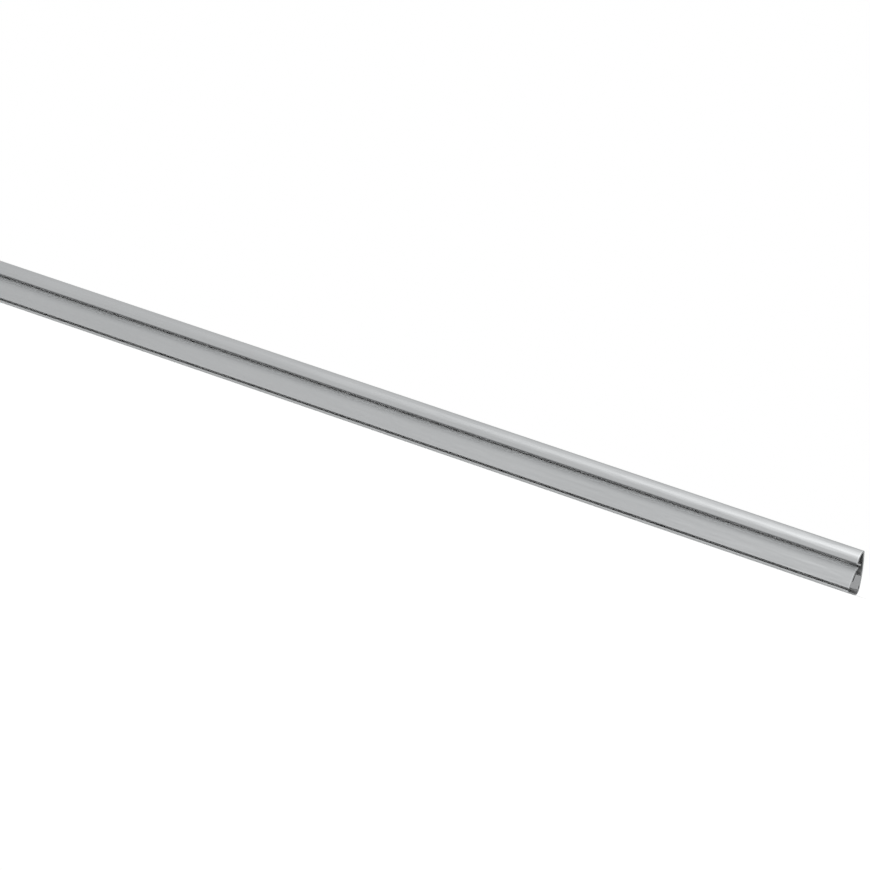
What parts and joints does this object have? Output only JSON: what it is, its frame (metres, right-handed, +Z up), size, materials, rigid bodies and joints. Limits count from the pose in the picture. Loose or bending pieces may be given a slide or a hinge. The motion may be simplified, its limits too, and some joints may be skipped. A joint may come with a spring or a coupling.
{
  "type": "aluminium extrusion profile",
  "caption": "Straight aluminium profile with a hollow rounded nose, a leaning front plate, a solid foot and a slotted channel along its flat base.",
  "frame": {"origin": "middle of the flat underside", "axes": "+X along the length, -Y towards the front with the groove, +Z up towards the nose"},
  "size_m": [1, 0.0152, 0.025],
  "materials": {
    "aluminium": "satin, with fine lines along the length"
  },
  "bodies": {
    "root": {"extrusion_profile": "aluminium"}
  },
  "joints": []
}
